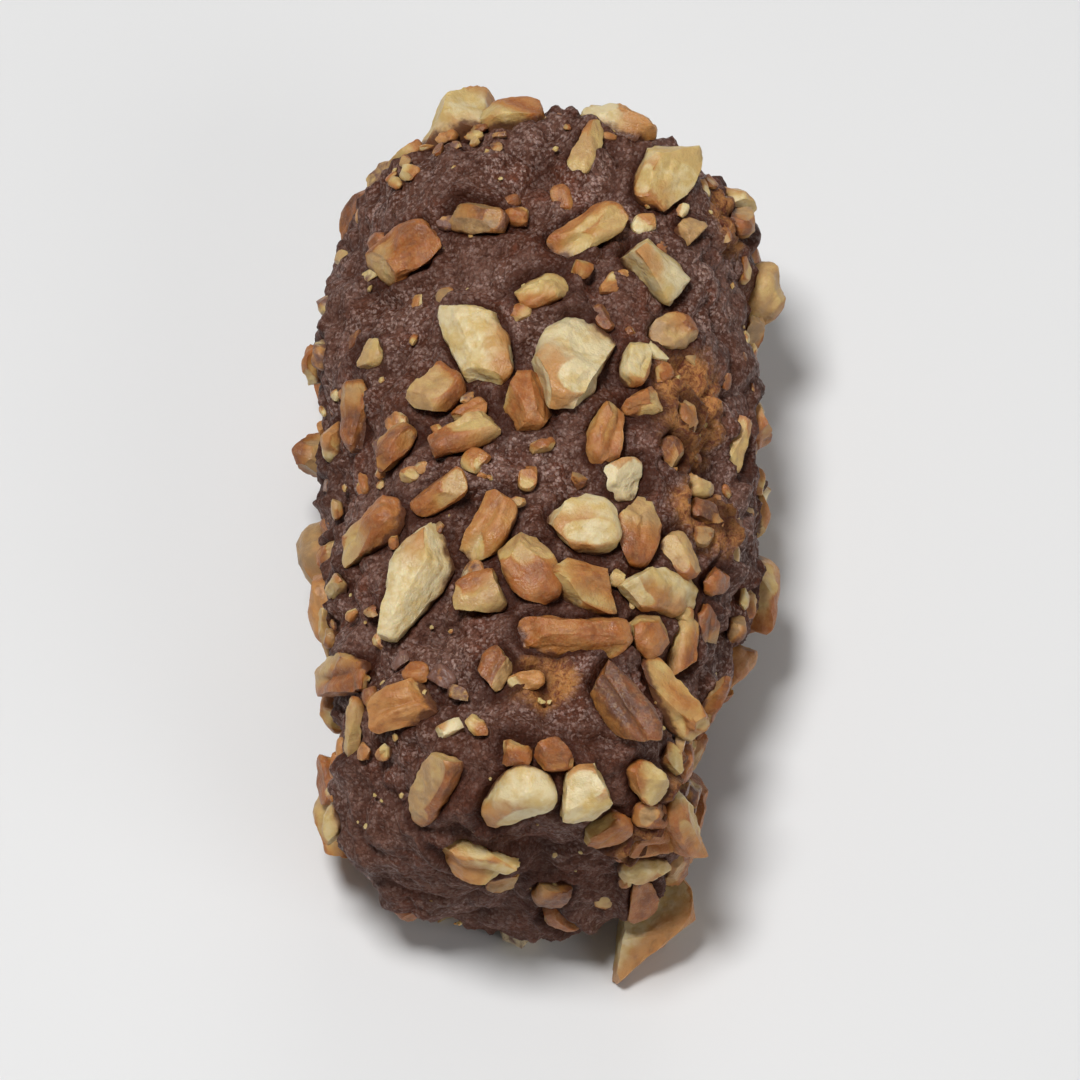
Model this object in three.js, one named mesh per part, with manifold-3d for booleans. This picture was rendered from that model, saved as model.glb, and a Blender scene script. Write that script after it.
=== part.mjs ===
// A date roll: a blunt log of date paste that was rolled in chopped pecans while it was soft.
// Millimetres, +Z up. The roll lies on its side along Y with its barer cut end towards -Y.
// The origin is on the flat that the table has pressed into its underside, so the table is z = 0.
import * as THREE from "three";
import { mergeVertices } from "three/addons/utils/BufferGeometryUtils.js";
import Module from "manifold-3d";

// The log of paste, without the nuts
const PASTE_LENGTH = 46;
const PASTE_WIDTH = 25;
const END_ROUND = 4.5; // radius where the side runs into an end
const END_CROWN = 0.8; // how far an end bulges
const SETTLED = 1.3; // depth of the round underside that the table has pressed flat
const NEAR_TAPER = 0.13; // share of its width that the near end loses
const NEAR_LEAN = 1.3; // how far the near end leans towards -X
const NEAR_STARTS = 0.08; // the taper and lean begin this share of the length from the middle
const NEAR_FULL = 0.33; // and are complete at this share

// Hand-rolled unevenness: waves in the radius, with their height, whole waves around and waves along
const LUMPS = [
  { height: 0.5, around: 2, along: 0.9, phase: 3.6 },
  { height: 0.35, around: 3, along: -1.7, phase: 2.1 },
  { height: 0.28, around: 5, along: 2.6, phase: 4.4 },
  { height: 0.2, around: 4, along: -4.1, phase: 1.2 },
];

// The nuts that show from above the near end, far to near. Places and lengths are square to that view:
// across and up from the middle of the roll, then length, width, and the turn of the length in degrees
// anticlockwise from across. One that stands out on its foot also has its steepness in degrees.
const SHOWN_ROUNDS = 6; // rounds of closing in on a place where the width changes
const SHOWN_TURN = 0.9; // how far round the near end's rounding the view reaches, in radians
const SHOWN_GRAZING = 0.35; // least cosine between the view and a surface that a turn is judged by
const SHOWN_LEAST = 0.75; // least share of a length that the view is taken to show
const SHOWN_TILT = THREE.MathUtils.degToRad(60);
const SHOWN_NUTS = [
  [3.0, 23.2, 3.8, 1.6, 65],
  [7.2, 21.0, 4.6, 3.5, 70],
  [-3.9, 18.9, 3.3, 2.1, -15],
  [11.6, 18.6, 2.2, 2.0, 0],
  [3.0, 17.7, 5.2, 2.6, 25],
  [-8.2, 16.7, 4.8, 3.2, 25],
  [6.9, 15.3, 4.4, 2.8, -40],
  [0.1, 14.1, 3.1, 2.2, 20],
  [7.8, 11.7, 2.8, 2.2, 0],
  [-3.7, 11.1, 5.6, 3.5, -65],
  [-10.0, 10.2, 1.9, 1.8, 0],
  [1.8, 9.5, 5.4, 4.2, 75],
  [5.5, 9.5, 2.5, 1.7, 80],
  [-5.9, 7.7, 3.2, 2.9, 45],
  [5.9, 7.3, 2.4, 1.7, 15],
  [-0.8, 7.1, 3.3, 3.0, 90],
  [-10.5, 6.5, 4.4, 2.2, 85],
  [-3.9, 6.5, 2.1, 1.6, 30],
  [3.9, 5.5, 3.8, 2.3, 70],
  [12.0, 4.8, 4.0, 1.9, 85],
  [-4.1, 4.7, 4.3, 2.4, 25],
  [-8.0, 4.3, 3.3, 2.1, 65],
  [5.1, 3.2, 2.8, 2.6, 0],
  [-5.4, 1.4, 3.6, 1.9, 25],
  [2.5, 0.1, 4.4, 3.4, -10],
  [5.9, -0.1, 4.2, 2.9, 85],
  [-2.9, -0.4, 4.6, 2.3, 60],
  [-9.4, -0.7, 4.4, 2.8, 45],
  [8.4, -1.7, 3.0, 2.0, -65],
  [-0.6, -2.9, 4.4, 3.2, -60],
  [-7.1, -3.7, 7.2, 3.2, 62],
  [2.4, -3.7, 4.3, 2.8, -15],
  [10.4, -3.2, 2.0, 1.6, 0],
  [7.2, -3.7, 5.0, 2.7, -10],
  [-11.2, -3.8, 2.2, 1.5, 10],
  [-3.4, -4.3, 2.9, 2.7, 20],
  [12.0, -4.4, 2.2, 1.7, 70],
  [9.9, -5.6, 2.7, 2.2, 85],
  [-12.2, -6.4, 3.2, 1.7, 85],
  [6.1, -6.5, 2.6, 2.5, 45],
  [1.7, -6.7, 7.0, 2.8, 2],
  [8.6, -7.1, 3.7, 1.8, 80],
  [-2.6, -8.5, 2.5, 1.9, 60],
  [-11.3, -8.8, 4.9, 2.6, 20],
  [7.2, -10.4, 5.6, 2.9, -65],
  [-7.8, -10.7, 4.2, 2.7, 25],
  [10.3, -11.0, 5.2, 1.8, 88],
  [-1.3, -11.0, 1.7, 1.6, 0],
  [4.1, -11.2, 5.5, 2.8, -62],
  [-11.0, -11.9, 3.8, 1.8, 80],
  [1.2, -11.9, 2.1, 2.0, 0],
  [8.9, -13.9, 2.2, 1.9, 60],
  [6.8, -14.3, 2.6, 2.1, -40],
  [-6.1, -14.8, 4.7, 2.3, 60],
  [1.9, -15.2, 3.7, 3.1, 45],
  [-1.3, -15.8, 3.9, 3.3, 50],
  [6.4, -16.6, 2.1, 1.8, 0],
  [10.1, -17.0, 4.2, 2.5, -75],
  [3.8, -17.2, 3.0, 2.0, 20],
  [6.9, -18.2, 2.7, 1.8, 10],
  [-4.1, -18.4, 5.0, 3.0, -10],
  [6.5, -19.9, 2.9, 1.7, 0],
  [10.4, -20.6, 2.9, 1.8, 85],
  [6.0, -21.6, 3.2, 1.9, 75],
  [7.2, -23.4, 7.6, 5.2, -150, 35],
  [1.3, -22.8, 2.5, 2.1, -40],
  [10.0, -24.0, 3.0, 1.9, 60],
];

// The other nuts come by a rule, the longest first, each where it is clear of those before it
const NUT_COUNT = 95;
const NUT_LONGEST = 6.2;
const NUT_SHORTEST = 2.0;
const NUT_SHOWN_LONGEST = 2.5; // on the shown side the longer ones are those listed above
const SHOWN_FACING = 0.05; // cosine of the angle from the view within which a spot counts as shown
const NUT_SPACING = 0.92; // distance between two nuts, as a share of their mean half sizes together
const NUT_TRIES = 40; // spots tried for a nut before it is left out
const NUT_WIDE = [0.55, 0.9]; // width as a share of length
const NUT_TALL = [0.68, 0.92]; // height as a share of width
const NUT_PROUD = [0.05, 0.35]; // how far the middle stands above the paste, as a share of height
const STANDING_PROUD = 0.3; // and, for one that stands on its foot, as a share of its upright length
const NUT_LEAN = 0.35; // steepest lean of a nut out of the surface, in radians
const NUT_SQUARENESS = 3; // 2 would be an egg, more is squarer
const CUTS = [3, 6]; // knife cuts through a nut
const CUT_DEPTH = [0.55, 0.9]; // distance of a cut from the middle, as a share of the half size
const POLE_MARGIN = 1.0; // no nut sits closer than this to the very middle of an end
const SEED = 20417;

// Faceting
const AROUND_STEPS = 28;
const ALONG_STEPS = 26;
const FINE_NUT_LENGTH = 6; // nuts longer than this get the finer faceting
const SURFACE_STEP = 0.05; // step for measuring the slope of the surface
const FACET_SLACK = 0.045; // facets that differ by less than this are joined
const FLOOR_BLOCK = 100; // size of the block that cuts the flat

const HALF_LENGTH = PASTE_LENGTH / 2;
const HALF_WIDTH = PASTE_WIDTH / 2;
const AXIS_HEIGHT = HALF_WIDTH - SETTLED;
const END_DISC = HALF_WIDTH - END_ROUND;
const ROUND_ARC = (END_ROUND * Math.PI) / 2;
const PROFILE_LENGTH = 2 * (END_DISC + ROUND_ARC) + PASTE_LENGTH - 2 * END_ROUND;
const SHOWN_FROM = new THREE.Vector3(0, -Math.cos(SHOWN_TILT), Math.sin(SHOWN_TILT));
const SHOWN_UP = new THREE.Vector3(0, Math.sin(SHOWN_TILT), Math.cos(SHOWN_TILT));

const wasm = await Module();
wasm.setup();

let drawn = SEED;

// The next number of a seeded series, between low and high.
function draw([low, high]) {
  drawn = (drawn * 48271) % 2147483647;
  return low + ((high - low) * drawn) / 2147483647;
}

// Radius and place along the axis of the plain log, by the distance from the middle of the near end
// along its outline: an end disc, a rounding, the side, and the same again.
function profile(distance) {
  if (distance > PROFILE_LENGTH / 2) {
    const mirrored = profile(PROFILE_LENGTH - distance);
    return { radius: mirrored.radius, along: -mirrored.along };
  }
  if (distance < END_DISC) return { radius: distance, along: -HALF_LENGTH };
  if (distance < END_DISC + ROUND_ARC) {
    const turn = (distance - END_DISC) / END_ROUND;
    return {
      radius: END_DISC + END_ROUND * Math.sin(turn),
      along: -HALF_LENGTH + END_ROUND * (1 - Math.cos(turn)),
    };
  }
  return { radius: HALF_WIDTH, along: -HALF_LENGTH + END_ROUND + distance - END_DISC - ROUND_ARC };
}

// How far a place along the log has gone over to the form of the near end, from 0 to 1.
function nearness(along) {
  return THREE.MathUtils.smoothstep(-along / PASTE_LENGTH, NEAR_STARTS, NEAR_FULL);
}

// A point on the uneven paste. The angle runs round the axis from the top towards +X.
function pastePoint(distance, angle) {
  const { radius, along } = profile(distance);
  const share = along / PASTE_LENGTH;
  let swell = 1 - NEAR_TAPER * nearness(along);
  for (const lump of LUMPS) {
    const wave = Math.sin(lump.around * angle + 2 * Math.PI * lump.along * share + lump.phase);
    swell += (lump.height / HALF_WIDTH) * wave;
  }
  const crown = END_CROWN * (1 - (radius / HALF_WIDTH) ** 2) * Math.sign(along);
  return new THREE.Vector3(
    radius * swell * Math.sin(angle) - NEAR_LEAN * nearness(along),
    along + crown,
    AXIS_HEIGHT + radius * swell * Math.cos(angle),
  );
}

// A place for a nut: the point on the settled paste, the way out of it, and the ways along and across it.
function surfaceSpot(distance, angle) {
  const turnStep = SURFACE_STEP / Math.max(profile(distance).radius, POLE_MARGIN);
  const before = pastePoint(distance - SURFACE_STEP, angle);
  const along = pastePoint(distance + SURFACE_STEP, angle).sub(before).normalize();
  const across = pastePoint(distance, angle + turnStep).sub(pastePoint(distance, angle - turnStep));
  const out = across.cross(along).normalize();
  const point = pastePoint(distance, angle);
  point.z = Math.max(point.z, 0);
  return { point, out, along, across: along.clone().cross(out) };
}

// The spot that the shown view has at these distances across and up from the middle of the roll.
function shownSpot(across, up) {
  let angle = 0;
  let along = up;
  for (let i = 0; i < SHOWN_ROUNDS; i++) {
    const radius = HALF_WIDTH * (1 - NEAR_TAPER * nearness(along));
    const aside = (across + NEAR_LEAN * nearness(along)) / radius;
    angle = Math.asin(THREE.MathUtils.clamp(aside, -1, 1));
    along = (up - radius * Math.cos(angle) * Math.cos(SHOWN_TILT)) / Math.sin(SHOWN_TILT);
  }
  const side = along + HALF_LENGTH + END_DISC + ROUND_ARC - END_ROUND;
  if (along > -HALF_LENGTH + END_ROUND) {
    return surfaceSpot(Math.min(side, PROFILE_LENGTH - END_DISC), angle);
  }
  return nearEndSpot(across + NEAR_LEAN, up);
}

// The same on the near end, where the depth of its rounding is closed in on.
function nearEndSpot(aside, up) {
  let along = -HALF_LENGTH;
  let angle = 0;
  let distance = 0;
  for (let i = 0; i < SHOWN_ROUNDS; i++) {
    const height = (up - along * Math.sin(SHOWN_TILT)) / Math.cos(SHOWN_TILT);
    const reach = Math.hypot(aside, height) / (1 - NEAR_TAPER);
    const rounding = THREE.MathUtils.clamp((reach - END_DISC) / END_ROUND, 0, Math.sin(SHOWN_TURN));
    const turn = Math.asin(rounding);
    along = (along - HALF_LENGTH + END_ROUND * (1 - Math.cos(turn))) / 2;
    angle = Math.atan2(aside, height);
    distance = Math.min(reach, END_DISC) + END_ROUND * turn;
  }
  return surfaceSpot(distance, angle);
}

// The way along the surface that the shown view has at this turn from across.
function shownWay(spot, turn) {
  const way = new THREE.Vector3(Math.cos(turn), 0, 0).addScaledVector(SHOWN_UP, Math.sin(turn));
  const facing = Math.max(spot.out.dot(SHOWN_FROM), SHOWN_GRAZING);
  way.addScaledVector(SHOWN_FROM, -way.dot(spot.out) / facing);
  return way.addScaledVector(spot.out, -way.dot(spot.out)).normalize();
}

// Share of a length in this direction that the view shows.
function shownShare(direction) {
  return Math.max(Math.hypot(direction.x, direction.dot(SHOWN_UP)), SHOWN_LEAST);
}

// How a nut lies on its spot, with its length going this way along the surface and leaning out of it.
function lieOfNut(spot, way, standing = 0) {
  const lean = draw([-NUT_LEAN, NUT_LEAN]) + standing;
  const lengthways = way.clone().multiplyScalar(Math.cos(lean)).addScaledVector(spot.out, Math.sin(lean));
  const sideways = spot.out.clone().cross(lengthways).normalize();
  return { lengthways, sideways, upwards: lengthways.clone().cross(sideways) };
}

// A chopped nut of this size on its spot, with the knife cuts through it.
function chopNut(spot, lie, long, wide, tall, upright = 0) {
  const proud = draw(NUT_PROUD) * tall + STANDING_PROUD * upright;
  const cuts = [];
  const count = Math.floor(draw([CUTS[0], CUTS[1] + 1]));
  for (let i = 0; i < count; i++) {
    const height = draw([-1, 1]);
    const heading = draw([0, 2 * Math.PI]);
    const flat = Math.sqrt(1 - height * height);
    cuts.push({
      facing: new THREE.Vector3(flat * Math.cos(heading), flat * Math.sin(heading), height),
      depth: draw(CUT_DEPTH),
    });
  }
  return {
    middle: spot.point.clone().addScaledVector(spot.out, proud),
    frame: new THREE.Matrix4().makeBasis(lie.lengthways, lie.sideways, lie.upwards),
    size: new THREE.Vector3(long, wide, tall),
    reach: (long + wide) / 4,
    cuts,
  };
}

// Every nut of the coat: those listed for the shown side, then those by the rule.
function coatOfNuts() {
  const nuts = SHOWN_NUTS.map(([across, up, shownLong, wide, turn, steepness = 0]) => {
    const spot = shownSpot(across, up);
    const standing = THREE.MathUtils.degToRad(steepness);
    const lie = lieOfNut(spot, shownWay(spot, THREE.MathUtils.degToRad(turn)), standing);
    const long = shownLong / shownShare(lie.lengthways);
    return chopNut(spot, lie, long, wide, wide * draw(NUT_TALL), long * Math.sin(standing));
  });
  for (let i = 0; i < NUT_COUNT; i++) {
    const long = NUT_LONGEST * (NUT_SHORTEST / NUT_LONGEST) ** (i / NUT_COUNT);
    const wide = long * draw(NUT_WIDE);
    const tall = wide * draw(NUT_TALL);
    const turn = draw([0, Math.PI]);
    const spot = clearSpot(nuts, long, (long + wide) / 4);
    if (!spot) continue;
    const way = spot.across.clone().multiplyScalar(Math.cos(turn));
    way.addScaledVector(spot.along, Math.sin(turn));
    nuts.push(chopNut(spot, lieOfNut(spot, way), long, wide, tall));
  }
  return nuts;
}

// A spot drawn evenly over the paste that is clear of the nuts so far, or null.
function clearSpot(nuts, long, reach) {
  for (let i = 0; i < NUT_TRIES; i++) {
    const distance = draw([POLE_MARGIN, PROFILE_LENGTH - POLE_MARGIN]);
    const angle = draw([-Math.PI, Math.PI]);
    const evenness = draw([0, HALF_WIDTH]);
    if (evenness > profile(distance).radius) continue;
    const spot = surfaceSpot(distance, angle);
    if (long > NUT_SHOWN_LONGEST && spot.out.dot(SHOWN_FROM) > SHOWN_FACING) continue;
    const tooClose = (nut) => nut.middle.distanceTo(spot.point) < NUT_SPACING * (nut.reach + reach);
    if (!nuts.some(tooClose)) return spot;
  }
  return null;
}

// The geometry of a chopped nut: each direction reaches to a rounded block or to the nearest cut through
// it, and what is left is stretched to the nut's length, width and height.
function nutGeometry(nut) {
  const geometry = bare(new THREE.OctahedronGeometry(1, nut.size.x > FINE_NUT_LENGTH ? 2 : 1));
  const position = geometry.attributes.position;
  const direction = new THREE.Vector3();
  for (let i = 0; i < position.count; i++) {
    direction.fromBufferAttribute(position, i).normalize();
    const powers = direction.toArray().map((value) => Math.abs(value) ** NUT_SQUARENESS);
    const block = (powers[0] + powers[1] + powers[2]) ** (-1 / NUT_SQUARENESS);
    const reach = nut.cuts.reduce((least, cut) => {
      const facing = cut.facing.dot(direction);
      return facing > 0 ? Math.min(least, cut.depth / facing) : least;
    }, block);
    direction.multiplyScalar(reach);
    position.setXYZ(i, direction.x, direction.y, direction.z);
  }
  geometry.center();
  const left = geometry.boundingBox.getSize(new THREE.Vector3());
  geometry.scale(nut.size.x / left.x, nut.size.y / left.y, nut.size.z / left.z);
  geometry.applyMatrix4(nut.frame);
  geometry.translate(nut.middle.x, nut.middle.y, nut.middle.z);
  return geometry;
}

// The geometry of the paste: the plain outline turned round its axis, and each point then moved to the
// uneven surface.
function pasteGeometry() {
  const outline = [];
  for (let i = 0; i <= ALONG_STEPS; i++) {
    const { radius, along } = profile((PROFILE_LENGTH * i) / ALONG_STEPS);
    outline.push(new THREE.Vector2(radius, along));
  }
  const geometry = new THREE.LatheGeometry(outline, AROUND_STEPS);
  const position = geometry.attributes.position;
  for (let i = 0; i < position.count; i++) {
    const row = i % outline.length;
    const column = Math.floor(i / outline.length) % AROUND_STEPS;
    const point = pastePoint((PROFILE_LENGTH * row) / ALONG_STEPS, (2 * Math.PI * column) / AROUND_STEPS);
    position.setXYZ(i, point.x, point.y, point.z);
  }
  return bare(geometry);
}

// A geometry with positions alone and its shared vertices merged.
function bare(geometry) {
  geometry.deleteAttribute("normal");
  geometry.deleteAttribute("uv");
  return mergeVertices(geometry);
}

function solidFrom(geometry) {
  const vertProperties = geometry.attributes.position.array;
  const triVerts = new Uint32Array(geometry.index.array);
  return new wasm.Manifold(new wasm.Mesh({ numProp: 3, vertProperties, triVerts }));
}

// A solid's largest body as a faceted geometry, without loose scraps and sealed hollows.
function geometryFrom(solid) {
  const bodies = solid.simplify(FACET_SLACK).decompose();
  const largest = bodies.reduce((first, second) => (second.volume() > first.volume() ? second : first));
  const mesh = largest.getMesh();
  const geometry = new THREE.BufferGeometry();
  geometry.setAttribute("position", new THREE.BufferAttribute(mesh.vertProperties, 3));
  geometry.setIndex(new THREE.BufferAttribute(mesh.triVerts, 1));
  const faceted = geometry.toNonIndexed();
  faceted.computeVertexNormals();
  return faceted;
}

// The paste and its nuts as one piece, cut flat where it rests.
function rollGeometry() {
  let coated = solidFrom(pasteGeometry());
  for (const nut of coatOfNuts()) coated = coated.add(solidFrom(nutGeometry(nut)));
  const below = new THREE.BoxGeometry(FLOOR_BLOCK, FLOOR_BLOCK, FLOOR_BLOCK);
  below.translate(0, 0, -FLOOR_BLOCK / 2);
  return geometryFrom(coated.subtract(solidFrom(bare(below))));
}

const pasteBrown = new THREE.MeshStandardMaterial({ color: "#6b4f44", roughness: 0.7, metalness: 0 });
const roll = new THREE.Mesh(rollGeometry(), pasteBrown);
roll.name = "date_roll";

const group = new THREE.Group();
group.add(roll);

export default group;
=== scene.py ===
import math
from dataclasses import dataclass
from functools import cache

import bmesh
import bpy
import numpy as np
from bpy.props import FloatProperty, FloatVectorProperty, IntProperty, PointerProperty
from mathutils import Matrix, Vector, noise


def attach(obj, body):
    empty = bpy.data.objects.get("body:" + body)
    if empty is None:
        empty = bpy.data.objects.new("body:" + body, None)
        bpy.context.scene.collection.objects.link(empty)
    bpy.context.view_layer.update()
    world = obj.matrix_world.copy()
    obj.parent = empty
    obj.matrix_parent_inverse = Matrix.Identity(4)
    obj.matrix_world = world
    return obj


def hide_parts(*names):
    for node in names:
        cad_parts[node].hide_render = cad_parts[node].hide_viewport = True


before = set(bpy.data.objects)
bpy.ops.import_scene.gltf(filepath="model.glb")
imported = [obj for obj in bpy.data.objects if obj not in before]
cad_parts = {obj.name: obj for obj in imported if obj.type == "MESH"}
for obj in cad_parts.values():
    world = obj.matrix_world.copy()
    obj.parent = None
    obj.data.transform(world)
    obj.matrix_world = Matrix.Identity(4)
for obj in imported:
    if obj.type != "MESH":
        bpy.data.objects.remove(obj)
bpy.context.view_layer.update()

bl_info = {
    "name": "Date pecan roll",
    "version": (1, 0, 0),
    "blender": (4, 5, 0),
    "location": "3D View > Sidebar > Date roll",
    "description": "A log of date paste rolled in chopped pecans, built over its packed frame",
    "category": "Add Mesh",
}

MM = 0.001
BODY = "root"
NODE = "date_roll"

# Hand-rolled unevenness of the log: height in mm, whole waves around, waves along, phase
LUMPS = (
    (0.5, 2, 0.9, 3.6),
    (0.35, 3, -1.7, 2.1),
    (0.28, 5, 2.6, 4.4),
    (0.2, 4, -4.1, 1.2),
)
NEAR_STARTS = 0.08
NEAR_FULL = 0.33

# The largest nuts on the shown side, in mm and square to a view from above the near end: across and up
# from the middle of the roll, length, width, turn of the length in degrees, share that still has skin,
# paleness from 0 to 1, which is partly the nut's own tone and for nuts that lay in shade also painted
# shade, and for one that stands out on its foot its steepness in degrees
VIEW_TILT = math.radians(60)
SHOWN_ROUNDS = 6
SHOWN_TURN = 0.9
SHOWN_GRAZING = 0.35
SHOWN_LEAST = 0.75
SHOWN_NUTS = (
    (3.0, 23.2, 3.8, 1.6, 65, 0.05, 0.5),
    (7.2, 21.0, 4.6, 3.5, 70, 0.2, 0.75),
    (-3.9, 18.9, 3.3, 2.1, -15, 0.2, 0.15),
    (11.6, 18.6, 2.2, 2.0, 0, 0.3, 0.3),
    (3.0, 17.7, 5.2, 2.6, 25, 0.7, 0.6),
    (-8.2, 16.7, 4.8, 3.2, 25, 0.9, 0.45),
    (6.9, 15.3, 4.4, 2.8, -40, 0.1, 0.85),
    (0.1, 14.1, 3.1, 2.2, 20, 0.15, 0.6),
    (7.8, 11.7, 2.8, 2.2, 0, 0.3, 0.35),
    (-3.7, 11.1, 5.6, 3.5, -65, 0.08, 0.85),
    (-10.0, 10.2, 1.9, 1.8, 0, 0.2, 0.5),
    (1.8, 9.5, 5.4, 4.2, 75, 0.04, 0.95),
    (5.5, 9.5, 2.5, 1.7, 80, 0.2, 0.8),
    (-5.9, 7.7, 3.2, 2.9, 45, 0.5, 0.4),
    (5.9, 7.3, 2.4, 1.7, 15, 0.9, 0.5),
    (-0.8, 7.1, 3.3, 3.0, 90, 0.9, 0.6),
    (-10.5, 6.5, 4.4, 2.2, 85, 0.9, 0.25),
    (-3.9, 6.5, 2.1, 1.6, 30, 0.9, 0.6),
    (3.9, 5.5, 3.8, 2.3, 70, 0.85, 0.65),
    (12.0, 4.8, 4.0, 1.9, 85, 0.2, 0.5),
    (-4.1, 4.7, 4.3, 2.4, 25, 0.6, 0.5),
    (-8.0, 4.3, 3.3, 2.1, 65, 0.4, 0.35),
    (5.1, 3.2, 2.8, 2.6, 0, 0.05, 1.0),
    (-5.4, 1.4, 3.6, 1.9, 25, 0.9, 0.45),
    (2.5, 0.1, 4.4, 3.4, -10, 0.03, 0.85),
    (5.9, -0.1, 4.2, 2.9, 85, 0.7, 0.4),
    (-2.9, -0.4, 4.6, 2.3, 60, 0.8, 0.7),
    (-9.4, -0.7, 4.4, 2.8, 45, 0.8, 0.55),
    (8.4, -1.7, 3.0, 2.0, -65, 0.3, 0.4),
    (-0.6, -2.9, 4.4, 3.2, -60, 0.5, 0.5),
    (-7.1, -3.7, 7.2, 3.2, 62, 0.05, 0.9),
    (2.4, -3.7, 4.3, 2.8, -15, 0.6, 0.65),
    (10.4, -3.2, 2.0, 1.6, 0, 0.7, 0.4),
    (7.2, -3.7, 5.0, 2.7, -10, 0.15, 0.8),
    (-11.2, -3.8, 2.2, 1.5, 10, 0.1, 0.55),
    (-3.4, -4.3, 2.9, 2.7, 20, 0.3, 0.45),
    (12.0, -4.4, 2.2, 1.7, 70, 0.5, 0.45),
    (9.9, -5.6, 2.7, 2.2, 85, 0.8, 0.2),
    (-12.2, -6.4, 3.2, 1.7, 85, 0.2, 0.4),
    (6.1, -6.5, 2.6, 2.5, 45, 0.5, 0.5),
    (1.7, -6.7, 7.0, 2.8, 2, 0.9, 0.55),
    (8.6, -7.1, 3.7, 1.8, 80, 0.3, 0.45),
    (-2.6, -8.5, 2.5, 1.9, 60, 0.5, 0.3),
    (-11.3, -8.8, 4.9, 2.6, 20, 0.85, 0.45),
    (7.2, -10.4, 5.6, 2.9, -65, 0.3, 0.55),
    (-7.8, -10.7, 4.2, 2.7, 25, 0.85, 0.75),
    (10.3, -11.0, 5.2, 1.8, 88, 0.9, 0.25),
    (-1.3, -11.0, 1.7, 1.6, 0, 0.9, 0.4),
    (4.1, -11.2, 5.5, 2.8, -62, 0.95, 0.1),
    (-11.0, -11.9, 3.8, 1.8, 80, 0.25, 0.4),
    (1.2, -11.9, 2.1, 2.0, 0, 0.9, 0.4),
    (8.9, -13.9, 2.2, 1.9, 60, 0.8, 0.5),
    (6.8, -14.3, 2.6, 2.1, -40, 0.5, 0.65),
    (-6.1, -14.8, 4.7, 2.3, 60, 0.4, 0.35),
    (1.9, -15.2, 3.7, 3.1, 45, 0.1, 0.85),
    (-1.3, -15.8, 3.9, 3.3, 50, 0.15, 0.9),
    (6.4, -16.6, 2.1, 1.8, 0, 0.9, 0.35),
    (10.1, -17.0, 4.2, 2.5, -75, 0.45, 0.65),
    (3.8, -17.2, 3.0, 2.0, 20, 0.8, 0.6),
    (6.9, -18.2, 2.7, 1.8, 10, 0.85, 0.65),
    (-4.1, -18.4, 5.0, 3.0, -10, 0.4, 0.7),
    (6.5, -19.9, 2.9, 1.7, 0, 0.1, 0.75),
    (10.4, -20.6, 2.9, 1.8, 85, 0.8, 0.35),
    (6.0, -21.6, 3.2, 1.9, 75, 0.9, 0.5),
    (7.2, -23.4, 7.6, 5.2, -150, 0.6, 0.85, 35),
    (1.3, -22.8, 2.5, 2.1, -40, 0.5, 0.4),
    (10.0, -24.0, 3.0, 1.9, 60, 0.9, 0.3),
)

# The rule for the other nuts, as the frame has it
NUT_SHOWN_LONGEST = 2.5
SHOWN_FACING = 0.05
NUT_SPACING = 0.92
NUT_TRIES = 40
NUT_WIDE = (0.55, 0.9)
NUT_TALL = (0.68, 0.92)
NUT_PROUD = (0.05, 0.35)
STANDING_PROUD = 0.3
NUT_LEAN = 0.35
NUT_SQUARENESS = 3
CUTS = (3, 6)
CUT_DEPTH = (0.55, 0.9)
POLE_MARGIN = 1.0
SURFACE_STEP = 0.05
COAT_SEED = 20417

# What a nut has beyond the frame: small chips and bites, a furrow along its skin, and where skin was left
CHIPS = 5
CHIP_DEPTH = (0.74, 0.98)
BITES = 2
BITE_DEPTH = (-0.1, 0.12)
BITE_EDGE = (0.78, 0.97)
FURROW_DEPTH = (-0.1, 0.24)
FURROW_WIDTH = 0.28
FURROW_ASIDE = 0.25
WHOLE_SKIN = 0.95
WHOLE_FURROW = 0.2
SKIN_RISE = (-0.3, 0.9)
SLICE_LOSS = 0.7
SLICED = (1.01, 1.06)
PALENESS = (0.15, 0.95)
# Its unevenness: height and size as shares of the nut's width, and octaves
NUT_LUMPS = (0.055, 0.55, 2)
NUT_CRUMB = (0.034, 0.24, 3)
CRUMB_HIDDEN = 0.5
SKIN_WRINKLES = (0.03, 0.2, 2)
WRINKLE_STRETCH = np.array((0.35, 1.0, 1.0))
NUT_APART = np.array((1.0, 1.7, 2.3))
CRUMB_APART = 9.0
SKIN_EDGE = (-0.15, 0.15)
# How much paste is smeared over it
CLEAN = (0.0, 0.0)
NUT_COATED = (-3.0, 0.6)
BIT_COATED = (-2.0, 0.7)
LOOK_SEED = 7331

# Small bits and meal, and the part of the near end that is left bare of bits, in mm
BIT_SEED = 9127
BIT_SPACING = 0.78
MEAL_SEED = 51803
MEAL_SHARE = (0.35, 1.0)
MEAL_WIDE = 0.8
MEAL_TALL = 0.7
MEAL_SKIN = 0.1
MEAL_PALE = 0.6
BARE_DEPTH = 3.0
BARE_RIGHT = 3.0

# Faceting: the paste around and along, and for nuts the shortest length that gets each level
PASTE_AROUND = 330
PASTE_ALONG = 275
WELD = 1e-4
NUT_LEVELS = ((5.4, 5), (2.0, 4), (1.5, 3), (0.6, 2), (0.0, 1))
LARGE_NUT = 5.4
FIT_LEVEL = 3
CARVED_LEVEL = 3
TOP_DENSE = 0.6
EDGE_REACH = 0.48
CORNER_REACH = 0.35
CREASE = math.radians(44)
# Height above the table, in mm, of what lies on it and of nuts that are too low to show
TABLE_GAP = 0.01
SUNK = 0.05

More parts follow.
